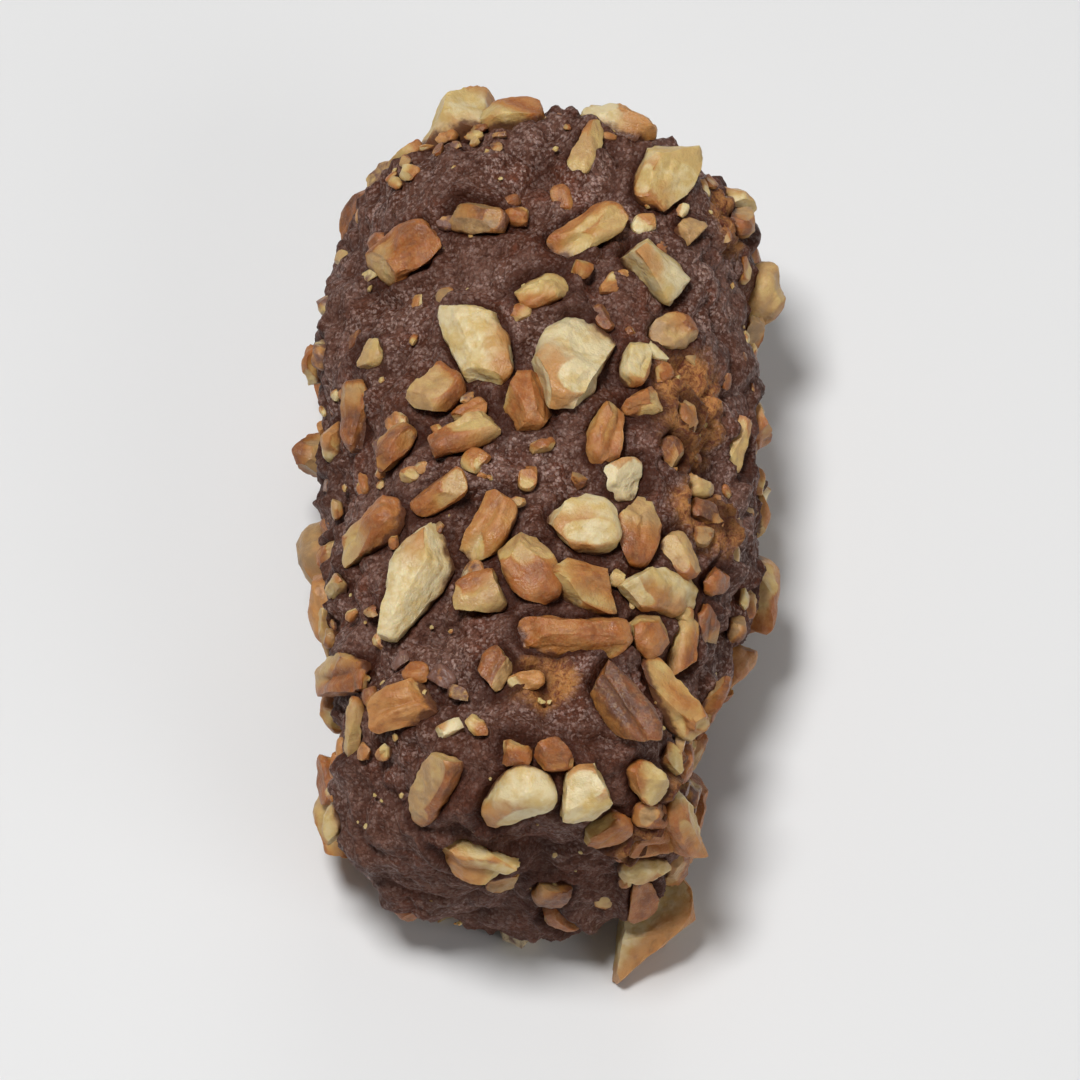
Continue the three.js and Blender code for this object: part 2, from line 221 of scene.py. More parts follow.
# Noise worked into the paste: size of its features in mm, octaves, and a shift that sets it apart
KNEADED = (5.0, 2, 0.0)
CALM = (7.0, 2, 31.0)
CALM_EDGE = (-0.25, 0.45)
FINE_GRAIN = (0.6, 3, 57.0)
CRAGS = (1.1, 5, 83.0)
TORN_NOISE = (1.6, 3, 0.0)
NOISE_FALL = 0.9
NOISE_STEP = 2.0
# Its lumps and pebbles: size in mm, shift, and how far and how finely they are bent
PASTE_LUMPS = (3.4, 0.0, 0.8, 2.0)
PASTE_PEBBLES = (1.3, 11.0, 0.3, 0.9)
BEND_SEED = 4127
LUMP_LEVEL = 0.65
PEBBLE_LEVEL = 0.75
# Where lumps and pebbles meet in creases, which get painted shade
LUMP_CREASE = (0.6, 0.3)
PEBBLE_CREASE = (0.72, 0.45)
# How much of each goes into the relief and the finish
KNEADED_SHARE = 0.5
LUMP_SHARE = 1.4
PEBBLE_SHARE = 1.2
PEBBLE_CALMED = 0.8
PEBBLE_SMOOTHED = 0.6
CRAG_SHARE = 0.6
CRAG_RISE = 0.2
# Painted shade in the creases: how strong, and how much less where the paste is calm
CREASE_SHADE_SHARE = 0.4
CREASE_SHADE_CALMED = 0.6
# Painted shade on the near end, and moister darker paste where it is calm
END_SHADE = 0.5
CALM_MOIST = 0.2
# How paste meets a nut, in mm: the rim round it, the gap and painted shadow beside it, and where it isn't
# hollowed
RIM_AWAY = 0.55
RIM_SPREAD = 0.5
RIM_EVEN = 0.6
RIM_KNEADED = 0.8
GAP_SPREAD = 0.4
GAP_DEPTH = 0.22
SHADOW_SPREAD = 0.6
HELD_REACH = 0.5
NUT_NEAR = 2.5
NUT_FAR = 9.0
# Stretch at the near end, in mm from its face, over which paste grows smooth and darker with painted shade
END_STARTS = 4.0
END_FULL = 0.5

# Places where the paste is torn and fibrous, in mm as above: across, up, half width, half length
TORN_PATCHES = (
    (9.2, 7.0, 3.4, 4.6),
    (10.0, 0.6, 3.0, 2.2),
    (0.2, -9.4, 2.2, 1.8),
    (7.6, -16.5, 2.4, 4.0),
    (10.8, 18.4, 2.2, 2.4),
)
# The same out of sight: distance along the outline from the near end, angle, half width, half length
TORN_HIDDEN = ((20.0, 2.6, 3.5, 4.0), (44.0, -2.4, 3.0, 4.5))
TORN_DEPTH = 4.0
TORN_EDGE = (0.55, 1.15)
TORN_FULL = 1.3
TORN_RAGGED = 0.5
TORN_TRACE = 0.02

# Patches in the finishes: size of their noise in metres, detail, roughness and distortion, then where they
# start and are full, and how strong they are there
WARM_PATCHES = (0.0035, 4.0, 0.6, 0.0, 0.5, 0.68, 0.0, 0.65)
# Small dark pores, painted shade in pits of the paste
SHADED_PORES = (0.00042, 3.0, 0.6, 0.0, 0.48, 0.36, 0.0, 0.6)
# Patches of pale frost, which is partly painted highlight on the tops of granules
BLOOM_HIGHLIGHT_PATCHES = (0.0045, 4.0, 0.55, 0.0, 0.35, 0.65, 0.35, 0.9)
TORN_FIBRES = (0.0007, 5.0, 0.75, 1.0, 0.36, 0.6, 0.0, 1.0)
PASTE_SHEEN = (0.0022, 3.0, 0.55, 0.0, 0.35, 0.7, 0.64, 0.42)
PECAN_SHEEN = (0.0012, 3.0, 0.55, 0.0, 0.35, 0.7, 0.5, 0.3)
# Layers of the finishes: where they start and are full, and how strong they are there
# Painted shade in the gaps between granules, and some granules darker at random
GRAIN_GAP_SHADE = (0.35, 1.0, 0.0, 0.45)
# Less pale frost and painted highlight where the paste is moister or has painted shade
BLOOM_HIGHLIGHT_WHEN_MOIST_OR_SHADED = (0.0, 1.0, 1.0, 0.35)
UNDER_SKIN = (-0.6, -0.05, 0.0, 0.75)
SKINNED = (-0.3, 0.2, 0.0, 1.0)
STREAKED = (0.46, 0.74, 0.0, 0.4)
WARM_FOOT = (0.3, -0.05, 0.0, 0.55)
SMEARED = (0.16, 0.0, 0.0, 0.9)
COATED = (0.35, 0.6, 0.0, 1.0)
# How strong other layers are
# How strong the moister darker paste and the painted shade on the near end are
MOIST_AND_SHADE_SHARE = 0.5
TORN_SHARE = 0.85
# Painted shade round the nuts and in the creases between lumps and pebbles
PAINTED_SHADE_SHARE = 0.85
GLINT_SHARE = 0.2
FLECK_SHARE = 0.3
PATCHY_SHARE = 0.34
# Edges that waver: size in metres, and how far
RAGGED_SKIN = (0.0011, 0.75)
RAGGED_FOOT = (0.0012, 0.5)
RAGGED_SMEAR = (0.0009, 0.5)
RAGGED_COAT = (0.0007, 1.0)
# Streaks along a skin: stretch, then size in mm, detail, roughness and distortion, then height as bump
STREAK_STRETCH = (0.6, 1.6, 1.6)
STREAKS = (0.7, 4.0, 0.55, 0.4)
STREAK_HEIGHT = 1.2
# Mottle and grain: how many features go into a metre, and how far granules are bent in metres
PASTE_MOTTLE = {"Broad": 190.0, "Fine": 900.0}
PECAN_MOTTLE = {"Broad": 600.0, "Fine": 2200.0}
PASTE_GRAIN = {"Scale": 4600.0}
PECAN_GRAIN = {"Scale": 5200.0}
GRAIN_BEND = 0.0004
# Layers of the mottle by name, detail and share, and where its mask starts and is full
MOTTLE_LAYERS = (("Broad", 3.0, 0.6), ("Fine", 4.0, 0.4))
MOTTLE_EDGE = (0.36, 0.64)
# Granules: which are speckled, their tops, which are partly painted highlight, the gaps between them,
# which get painted shade, and the height of each layer
GRAIN_CHOSEN = (0.15, 1.0)
GRAIN_TOPS = (0.85, 0.15)
GRAIN_GAPS = (0.4, 0.8)
GRANULE_HEIGHT = 0.5
BROAD_HEIGHT = 0.9
BROAD_SCALE = 0.3
BROAD_NOISE = {"Detail": 6.0, "Roughness": 0.72}
# The grain as bump, by its strength and its height in metres, and how light goes into each finish
PASTE_BUMP = (0.8, 0.0002)
PECAN_BUMP = (0.5, 0.00014)
PASTE_LIGHT = {
    "Specular IOR Level": 0.18,
    "Subsurface Weight": 0.15,
    "Subsurface Radius": (1.0, 0.35, 0.15),
    "Subsurface Scale": 0.0006,
}
PECAN_LIGHT = {
    "Subsurface Weight": 0.3,
    "Subsurface Radius": (1.0, 0.65, 0.3),
    "Subsurface Scale": 0.0008,
}
# Colours of cut flesh and of skin by their paleness
FLESH_STOPS = ((0.05, "flesh_dull"), (0.35, "flesh_tan"), (0.7, "flesh_cream"), (1.0, "flesh_pale"))
SKIN_STOPS = ((0.05, "skin_dark"), (0.48, "skin_brown"), (0.95, "skin_light"))

# The stage in metres: place of each soft light, size of its panel and its power in watts
SOFT_LIGHTS = (
    ((-0.1, -0.03, 0.52), 0.14, 2.22),
    ((0.35, -0.3, 0.3), 0.35, 0.5),
    ((0.08, 0.45, 0.35), 0.3, 0.3),
)
LIGHT_TARGET = (0.0, 0.0, 0.01)
WORLD_STRENGTH = 0.12
FLOOR_SIZE = 3.0
CAMERA_DISTANCE = 0.45
CAMERA_TARGET = (0.0, -0.0005, 0.0105)
FRAME_HEIGHT = 0.066
SENSOR = 36.0


def linear(red, green, blue):
    """A screen colour from 0 to 255 as the linear colour that shaders take."""
    values = []
    for value in (red, green, blue):
        share = value / 255
        values.append(share / 12.92 if share <= 0.04045 else ((share + 0.055) / 1.055) ** 2.4)
    return tuple(values)


def length_property(name, description, default):
    return FloatProperty(name=name, description=description, default=default, unit="LENGTH", precision=5)


def colour_property(name, description, red, green, blue):
    return FloatVectorProperty(
        name=name,
        description=description,
        default=linear(red, green, blue),
        subtype="COLOR",
        size=3,
        min=0.0,
        max=1.0,
    )


class DateRollSizes(bpy.types.PropertyGroup):
    """Sizes of the log of paste and of what it was rolled in."""

    paste_length: length_property("Paste length", "Length of the log without nuts", 0.046)
    paste_width: length_property("Paste width", "Thickness of the log without nuts", 0.025)
    end_round: length_property("End rounding", "Radius where the side runs into an end", 0.0045)
    end_crown: length_property("End crown", "How far an end bulges", 0.0008)
    settled: length_property("Settled depth", "Depth of underside pressed flat by the table", 0.0013)
    near_lean: length_property("Near end lean", "How far the near end leans to the left", 0.0013)
    near_taper: FloatProperty(
        name="Near end taper",
        description="Share of its width that the near end loses",
        default=0.13,
        subtype="FACTOR",
        min=0.0,
        max=0.5,
    )
    nut_longest: length_property("Longest nut", "Longest nut placed by the rule", 0.0062)
    nut_shortest: length_property("Shortest nut", "Shortest nut placed by the rule", 0.002)
    nut_count: IntProperty(name="Nuts", description="Nuts that the rule tries to place", default=95)
    bit_longest: length_property("Longest bit", "Longest of the small bits between the nuts", 0.0019)
    bit_shortest: length_property("Shortest bit", "Shortest of the small bits", 0.0008)
    bit_count: IntProperty(name="Bits", description="Small bits that the rule tries to place", default=380)
    meal_size: length_property("Meal size", "Largest grain of the meal that clings to the paste", 0.00055)
    meal_count: IntProperty(name="Meal", description="Grains of meal on the paste", default=520)
    lump_relief: length_property("Lump relief", "Height of the lumps in the kneaded paste", 0.00105)
    pebble_relief: length_property("Pebble relief", "Height of the pebbly grain of the paste", 0.0009)
    grain_relief: length_property("Grain relief", "Height of the finest modelled grain", 0.00016)
    torn_relief: length_property("Torn relief", "Height of the crags where the paste is torn", 0.001)
    rim_relief: length_property("Rim relief", "How far paste is pushed up round a nut", 0.0006)


class DateRollColours(bpy.types.PropertyGroup):
    """Colours of the paste and the pecans."""

    paste_mauve: colour_property("Paste", "Mauve brown of the paste", 121, 86, 73)
    paste_deep: colour_property("Deep paste", "Darker, moister paste", 90, 52, 36)
    paste_warm: colour_property("Warm paste", "Reddish date flesh that shows in patches", 118, 61, 38)
    # Painted shade: the colour put round nuts, in crevices and pores, and between granules
    paste_shade: colour_property("Crevice", "Paste in crevices and round nuts", 54, 20, 6)
    # Pale frost, partly the paste's own and partly painted highlight on the tops of granules
    paste_bloom_highlight: colour_property("Bloom", "Fine pale bloom on the paste", 186, 157, 146)
    paste_torn: colour_property("Torn paste", "Golden fibres where the paste is torn", 196, 136, 76)
    flesh_orange: colour_property("Orange flesh", "Flesh just under the skin of a pecan", 182, 118, 50)
    flesh_dull: colour_property("Dull flesh", "Darkest cut flesh of a pecan", 150, 118, 82)
    flesh_tan: colour_property("Tan flesh", "Toasted cut flesh of a pecan", 188, 149, 98)
    flesh_cream: colour_property("Cream flesh", "Usual cut flesh of a pecan", 208, 178, 114)
    flesh_pale: colour_property("Pale flesh", "Palest cut flesh of a pecan", 224, 206, 162)
    skin_dark: colour_property("Dark skin", "Darkest skin of a pecan", 104, 66, 48)
    skin_brown: colour_property("Brown skin", "Usual skin of a pecan", 166, 98, 46)
    skin_light: colour_property("Light skin", "Lightest skin of a pecan", 198, 143, 84)
    floor: colour_property("Floor", "Pale floor of the studio", 230, 230, 230)


class SeededDraw:
    """A series of numbers that is the same on every run."""

    def __init__(self, seed):
        self.state = seed

    def between(self, low, high):
        self.state = self.state * 48271 % 2147483647
        return low + (high - low) * self.state / 2147483647


def smoothstep(value, low, high):
    share = np.clip((value - low) / (high - low), 0.0, 1.0)
    return share * share * (3 - 2 * share)


def unit(vector):
    return vector / math.sqrt(vector @ vector)


@dataclass
class Spot:
    """A place on the paste: the point, the way out, and the ways along and across."""

    point: np.ndarray
    out: np.ndarray
    along: np.ndarray
    across: np.ndarray


@dataclass
class Nut:
    """A chopped piece: where it sits, how it lies, how big it is and where the knife went through."""

    middle: np.ndarray
    lie: np.ndarray
    size: np.ndarray
    reach: float
    cuts: list
    bites: list
    spot: Spot
    skin: float
    pale: float
    skin_side: np.ndarray
    furrow: float
    aside: float
    seed: float
    coat: float
    shift: np.ndarray = None
    stretch: np.ndarray = None


class Log:
    """The log of paste in mm, and the rules by which things sit on it."""

    def __init__(self, sizes):
        self.length = round(sizes.paste_length / MM, 4)
        self.half_length = self.length / 2
        self.half_width = round(sizes.paste_width / MM, 4) / 2
        self.end_round = round(sizes.end_round / MM, 4)
        self.end_crown = round(sizes.end_crown / MM, 4)
        self.near_lean = round(sizes.near_lean / MM, 4)
        self.near_taper = round(sizes.near_taper, 4)
        self.axis_height = self.half_width - round(sizes.settled / MM, 4)
        self.end_disc = self.half_width - self.end_round
        self.round_arc = self.end_round * math.pi / 2
        self.outline = 2 * (self.end_disc + self.round_arc) + self.length - 2 * self.end_round
        self.shown_from = np.array((0.0, -math.cos(VIEW_TILT), math.sin(VIEW_TILT)))
        self.shown_up = np.array((0.0, math.sin(VIEW_TILT), math.cos(VIEW_TILT)))

    def profile(self, distance):
        """Radius and place along the axis, by the distance along the outline from the near end."""
        if distance > self.outline / 2:
            radius, along = self.profile(self.outline - distance)
            return radius, -along
        if distance < self.end_disc:
            return distance, -self.half_length
        if distance < self.end_disc + self.round_arc:
            turn = (distance - self.end_disc) / self.end_round
            radius = self.end_disc + self.end_round * math.sin(turn)
            return radius, -self.half_length + self.end_round * (1 - math.cos(turn))
        side_starts = -self.half_length + self.end_round
        return self.half_width, side_starts + distance - self.end_disc - self.round_arc

    def nearness(self, along):
        """How far a place along the log has gone over to the form of the near end, from 0 to 1."""
        return smoothstep(-along / self.length, NEAR_STARTS, NEAR_FULL)

    def swollen(self, radius, along, angle):
        """Points of the plain log moved to the uneven one, for numbers or arrays of them."""
        share = along / self.length
        near = self.nearness(along)
        swell = 1 - self.near_taper * near
        for height, around, waves, phase in LUMPS:
            wave = np.sin(around * angle + 2 * math.pi * waves * share + phase)
            swell = swell + height / self.half_width * wave
        crown = self.end_crown * (1 - (radius / self.half_width) ** 2) * np.sign(along)
        x = radius * swell * np.sin(angle) - self.near_lean * near
        z = self.axis_height + radius * swell * np.cos(angle)
        return np.stack((x, along + crown, z), axis=-1)

    def point(self, distance, angle):
        radius, along = self.profile(distance)
        return self.swollen(radius, along, angle)

    def spot(self, distance, angle):
        turn_step = SURFACE_STEP / max(self.profile(distance)[0], POLE_MARGIN)
        before = self.point(distance - SURFACE_STEP, angle)
        along = unit(self.point(distance + SURFACE_STEP, angle) - before)
        across = self.point(distance, angle + turn_step) - self.point(distance, angle - turn_step)
        out = unit(np.cross(across, along))
        point = self.point(distance, angle)
        point[2] = max(point[2], 0.0)
        return Spot(point, out, along, np.cross(along, out))

    def shown_spot(self, across, up):
        """The spot that the shown view has at these distances from the middle of the roll."""
        angle = 0.0
        along = up
        for _ in range(SHOWN_ROUNDS):
            near = self.nearness(along)
            radius = self.half_width * (1 - self.near_taper * near)
            aside = (across + self.near_lean * near) / radius
            angle = math.asin(min(max(aside, -1.0), 1.0))
            along = (up - radius * math.cos(angle) * math.cos(VIEW_TILT)) / math.sin(VIEW_TILT)
        side = along + self.half_length + self.end_disc + self.round_arc - self.end_round
        if along > -self.half_length + self.end_round:
            return self.spot(min(side, self.outline - self.end_disc), angle)
        return self.near_end_spot(across + self.near_lean, up)

    def near_end_spot(self, aside, up):
        """The same on the near end, where the depth of its rounding is closed in on."""
        along = -self.half_length
        for _ in range(SHOWN_ROUNDS):
            height = (up - along * math.sin(VIEW_TILT)) / math.cos(VIEW_TILT)
            reach = math.hypot(aside, height) / (1 - self.near_taper)
            rounding = min(max((reach - self.end_disc) / self.end_round, 0.0), math.sin(SHOWN_TURN))
            turn = math.asin(rounding)
            along = (along - self.half_length + self.end_round * (1 - math.cos(turn))) / 2
        return self.spot(min(reach, self.end_disc) + self.end_round * turn, math.atan2(aside, height))

    def shown_way(self, spot, turn):
        """The way along the surface that the shown view has at this turn from across."""
        way = np.array((math.cos(turn), 0.0, 0.0)) + self.shown_up * math.sin(turn)
        facing = max(spot.out @ self.shown_from, SHOWN_GRAZING)
        way = way - self.shown_from * (way @ spot.out) / facing
        return unit(way - spot.out * (way @ spot.out))

    def shown_share(self, direction):
        """Share of a length in this direction that the view shows."""
        return max(math.hypot(direction[0], direction @ self.shown_up), SHOWN_LEAST)

    def bare(self, spot):
        """Whether a spot is where the near end was left bare."""
        return spot.point[1] < -self.half_length + BARE_DEPTH and spot.point[0] < BARE_RIGHT

    def any_spot(self, draw):
        """A spot drawn evenly over the paste, or None where the draw misses it."""
        distance = draw.between(POLE_MARGIN, self.outline - POLE_MARGIN)
        angle = draw.between(-math.pi, math.pi)
        evenness = draw.between(0, self.half_width)
        if evenness > self.profile(distance)[0]:
            return None
        return self.spot(distance, angle)


def any_direction(draw):
    """A direction drawn evenly from all."""
    height = draw.between(-1, 1)
    heading = draw.between(0, 2 * math.pi)
    flat = math.sqrt(1 - height * height)
    return np.array((flat * math.cos(heading), flat * math.sin(heading), height))


def small_chips(looks):
    """Slight cuts that take the roundness off a nut."""
    chips = []
    for _ in range(CHIPS):
        facing = any_direction(looks)
        chips.append((facing, looks.between(*CHIP_DEPTH) * block_reach(facing[None, :])[0]))
    return chips


def lie_of_nut(draw, spot, way, standing=0.0):
    """The ways of a nut's length, width and height, with its length leaning out of the surface."""
    lean = draw.between(-NUT_LEAN, NUT_LEAN) + standing
    lengthways = way * math.cos(lean) + spot.out * math.sin(lean)
    sideways = unit(np.cross(spot.out, lengthways))
    return np.stack((lengthways, sideways, np.cross(lengthways, sideways)), axis=1)


def chop_nut(draw, looks, spot, lie, size, upright=0.0, skin=None, pale=None, coat=NUT_COATED):
    """A chopped nut of this size that lies like this on its spot, with the knife cuts through it."""
    long, wide, tall = size
    proud = draw.between(*NUT_PROUD) * tall + STANDING_PROUD * upright
    cuts = []
    for _ in range(math.floor(draw.between(CUTS[0], CUTS[1] + 1))):
        facing = any_direction(draw)
        cuts.append((facing, draw.between(*CUT_DEPTH)))
    skin_heading = looks.between(0, 2 * math.pi)
    skin_rise = looks.between(*SKIN_RISE)
    skin_flat = math.sqrt(1 - skin_rise * skin_rise)
    skin_side = (skin_flat * math.cos(skin_heading), skin_flat * math.sin(skin_heading), skin_rise)
    drawn_skin = looks.between(0, 1)
    drawn_pale = looks.between(*PALENESS)
    nut = Nut(
        middle=spot.point + spot.out * proud,
        lie=lie,
        size=np.array(size),
        reach=(long + wide) / 4,
        cuts=cuts + small_chips(looks),
        bites=[(any_direction(looks), max(looks.between(*BITE_DEPTH), 0.0)) for _ in range(BITES)],
        spot=spot,
        skin=drawn_skin if skin is None else skin,
        pale=drawn_pale if pale is None else pale,
        skin_side=np.array(skin_side),
        furrow=max(looks.between(*FURROW_DEPTH), WHOLE_FURROW if skin == WHOLE_SKIN else 0.0),
        aside=looks.between(-FURROW_ASIDE, FURROW_ASIDE),
        seed=looks.between(0, 100),
        coat=max(looks.between(*coat), 0.0),
    )
    fit_nut(nut)
    return nut


def clear_spot(log, draw, nuts, long, reach, spacing):
    """A spot that is clear of the nuts so far, or None."""
    middles = np.array([nut.middle for nut in nuts])
    clearances = spacing * (np.array([nut.reach for nut in nuts]) + reach)
    for _ in range(NUT_TRIES):
        spot = log.any_spot(draw)
        if spot is None:
            continue
        if long > NUT_SHOWN_LONGEST and spot.out @ log.shown_from > SHOWN_FACING:
            continue
        if np.all(np.linalg.norm(middles - spot.point, axis=1) >= clearances):
            return spot
    return None


def turned_way(spot, turn):
    return spot.across * math.cos(turn) + spot.along * math.sin(turn)


def coat_of_nuts(log, sizes):
    """The nuts that the frame has: those listed for the shown side, then those by the rule."""
    draw = SeededDraw(COAT_SEED)
    looks = SeededDraw(LOOK_SEED)
    nuts = []
    for across, up, shown_long, wide, turn, skin, pale, *steepness in SHOWN_NUTS:
        spot = log.shown_spot(across, up)
        standing = math.radians(sum(steepness))
        lie = lie_of_nut(draw, spot, log.shown_way(spot, math.radians(turn)), standing)
        long = shown_long / log.shown_share(lie[:, 0])
        size = (long, wide, wide * draw.between(*NUT_TALL))
        nuts.append(chop_nut(draw, looks, spot, lie, size, long * math.sin(standing), skin, pale, CLEAN))
    longest = round(sizes.nut_longest / MM, 4)
    shortest = round(sizes.nut_shortest / MM, 4)
    for index in range(sizes.nut_count):
        long = longest * (shortest / longest) ** (index / sizes.nut_count)
        wide = long * draw.between(*NUT_WIDE)
        tall = wide * draw.between(*NUT_TALL)
        turn = draw.between(0, math.pi)
        spot = clear_spot(log, draw, nuts, long, (long + wide) / 4, NUT_SPACING)
        if spot is not None:
            lie = lie_of_nut(draw, spot, turned_way(spot, turn))
            nuts.append(chop_nut(draw, looks, spot, lie, (long, wide, tall)))
    return nuts


def small_bits(log, sizes, nuts):
    """Smaller chopped bits that lie between the nuts, by the same rule, with part of the near end bare."""
    draw = SeededDraw(BIT_SEED)
    looks = SeededDraw(BIT_SEED + 1)
    bits = []
    longest = sizes.bit_longest / MM
    shortest = sizes.bit_shortest / MM
    for index in range(sizes.bit_count):
        long = longest * (shortest / longest) ** (index / sizes.bit_count)
        wide = long * draw.between(*NUT_WIDE)
        tall = wide * draw.between(*NUT_TALL)
        turn = draw.between(0, math.pi)
        spot = clear_spot(log, draw, nuts + bits, long, (long + wide) / 4, BIT_SPACING)
        if spot is not None and not log.bare(spot):
            lie = lie_of_nut(draw, spot, turned_way(spot, turn))
            bits.append(chop_nut(draw, looks, spot, lie, (long, wide, tall), coat=BIT_COATED))
    return bits


def grains_of_meal(log, sizes):
    """Fine grains that cling anywhere on the paste."""
    draw = SeededDraw(MEAL_SEED)
    looks = SeededDraw(MEAL_SEED + 1)
    grains = []
    for _ in range(sizes.meal_count):
        long = sizes.meal_size / MM * draw.between(*MEAL_SHARE)
        turn = draw.between(0, math.pi)
        spot = log.any_spot(draw)
        if spot is not None:
            size = (long, long * MEAL_WIDE, long * MEAL_TALL)
            lie = lie_of_nut(draw, spot, turned_way(spot, turn))
            grains.append(chop_nut(draw, looks, spot, lie, size, 0.0, MEAL_SKIN, MEAL_PALE, CLEAN))
    return grains


# The form of a nut


@cache
def ball(level):
    """Directions of a ball's points, closer at its top, corners of its faces, and their spacing."""
    mesh = bmesh.new()
    bmesh.ops.create_icosphere(mesh, subdivisions=level, radius=1.0)
    mesh.verts.index_update()
    directions = np.array([vert.co for vert in mesh.verts], dtype=float)
    corners = np.array([[vert.index for vert in face.verts] for face in mesh.faces])
    mesh.free()
    directions[:, 2] += TOP_DENSE
    directions = directions / np.linalg.norm(directions, axis=1)[:, None]
    sides = np.linalg.norm(directions[corners] - directions[np.roll(corners, 1, axis=1)], axis=2)
    total = np.zeros(len(directions))
    count = np.zeros(len(directions))
    np.add.at(total, corners, sides)
    np.add.at(count, corners, 1)
    return directions, corners, total / count


def block_reach(directions):
    """How far a rounded block of half size 1 goes in each direction."""
    return (np.abs(directions) ** NUT_SQUARENESS).sum(axis=1) ** (-1 / NUT_SQUARENESS)


def holds(directions, nut):
    """How tightly the block and then each cut hold a nut in, in each direction."""
    cuts = np.array([facing / depth for facing, depth in nut.cuts])
    return np.column_stack((1 / block_reach(directions), directions @ cuts.T))


def slopes(directions, nut):
    """The way in which each of those holds grows."""
    cuts = np.array([facing / depth for facing, depth in nut.cuts])
    block = np.sign(directions) * np.abs(directions) ** (NUT_SQUARENESS - 1)
    block = block * (block_reach(directions) ** (NUT_SQUARENESS - 1))[:, None]
    spread = np.broadcast_to(cuts, (len(directions), *cuts.shape))
    return np.concatenate((block[:, None, :], spread), axis=1)


def knife_reach(directions, nut):
    """How far a nut goes in each direction before it is stretched: to the block or the nearest cut."""
    return 1 / holds(directions, nut).max(axis=1)


def onto_creases(directions, spacing, nut):
    """Directions of which those close to an edge or a corner of a nut are moved onto it."""
    rows = np.arange(len(directions))
    order = np.argsort(-holds(directions, nut), axis=1)
    ways = slopes(directions, nut)
    edge = unit_rows(ways[rows, order[:, 0]] - ways[rows, order[:, 1]])
    apart = (directions * edge).sum(axis=1)
    moved = directions - edge * np.where(apart < EDGE_REACH * spacing, apart, 0.0)[:, None]
    corner = ways[rows, order[:, 0]] - ways[rows, order[:, 2]]
    corner = unit_rows(corner - edge * (corner * edge).sum(axis=1)[:, None])
    further = (moved * corner).sum(axis=1)
    close = (apart < EDGE_REACH * spacing) & (np.abs(further) < CORNER_REACH * spacing)
    return unit_rows(moved - corner * np.where(close, further, 0.0)[:, None])


def unit_rows(vectors):
    return vectors / np.maximum(np.linalg.norm(vectors, axis=1), 1e-9)[:, None]


def fit_nut(nut):
    """Finds the shift and stretch that give a nut its size."""
    directions, _, _ = ball(FIT_LEVEL)
    plain = directions * knife_reach(directions, nut)[:, None]
    low = plain.min(axis=0)
    high = plain.max(axis=0)
    nut.shift = (low + high) / 2
    nut.stretch = nut.size / (high - low)


def nut_depth(points, nut):
    """How far points lie outside a nut, in mm and roughly: negative is inside."""
    local = (points - nut.middle) @ nut.lie / nut.stretch + nut.shift
    length = np.maximum(np.linalg.norm(local, axis=1), 1e-6)
    return (length - knife_reach(local / length[:, None], nut)) * nut.stretch.mean()


def nut_noise(points, wide, height, size, octaves):
    """Noise whose height and size are shares of a nut's width."""
    return height * noise_field(points, size * wide, octaves)


def carve_nut(nut, local, directions, skin):
    """Works unevenness, bites and grain into a nut, and wrinkles and a furrow into its skin, in mm."""
    wide = nut.size[1]
    skinned = smoothstep(skin, *SKIN_EDGE)
    apart = local + nut.seed * NUT_APART
    relief = nut_noise(apart, wide, *NUT_LUMPS)
    relief = relief + nut_noise(apart + CRUMB_APART, wide, *NUT_CRUMB) * (1 - CRUMB_HIDDEN * skinned)
    relief = relief + nut_noise(apart * WRINKLE_STRETCH, wide, *SKIN_WRINKLES) * skinned
    for facing, depth in nut.bites:
        relief = relief - depth * smoothstep(directions @ facing, *BITE_EDGE)
    furrow = np.exp(-(((directions[:, 1] - nut.aside) / FURROW_WIDTH) ** 2))
    relief = relief - nut.furrow * nut.skin * (furrow * np.clip(directions[:, 2], 0, 1))
    return local + directions * (wide * relief)[:, None]


def cut_at_table(points):
    """Points of a nut, of which those below the table are drawn up to it, towards the highest."""
    top = points[points[:, 2].argmax()]
    height = max(top[2] - TABLE_GAP, TABLE_GAP)
    below = TABLE_GAP - points[:, 2]
    share = np.where(below > 0, height / (height + np.maximum(below, 0.0)), 1.0)
    return top + (points - top) * share[:, None]


def shape_nut(nut):
    """Points of a nut at its place in mm, the corners of its faces, and what its finish needs to know."""
    level = next(level for shortest, level in NUT_LEVELS if nut.size[0] >= shortest)
    directions, corners, spacing = ball(level)
    directions = onto_creases(directions, spacing, nut)
    reach = knife_reach(directions, nut)
    sliced = smoothstep(block_reach(directions) / reach, *SLICED)
    skin = directions @ nut.skin_side - (1 - 2 * nut.skin) - SLICE_LOSS * sliced
    local = (directions * reach[:, None] - nut.shift) * nut.stretch
    if level >= CARVED_LEVEL:
        local = carve_nut(nut, local, directions, skin)
    points = nut.middle + local @ nut.lie.T
    fields = {
        "skin": skin,
        "pale": np.full(len(points), nut.pale),
        "coat": np.full(len(points), nut.coat),
        "above": (points - nut.spot.point) @ nut.spot.out / nut.size[2],
        "lay": local + nut.seed,
    }
    return cut_at_table(points), corners, fields


# Meshes and pieces


def add_field(data, name, values):
    """Stores one number or one vector for each point of a mesh."""
    kind, key = ("FLOAT", "value") if values.ndim == 1 else ("FLOAT_VECTOR", "vector")
    field = data.attributes.new(name, kind, "POINT")
    field.data.foreach_set(key, values.astype(np.float32).ravel())


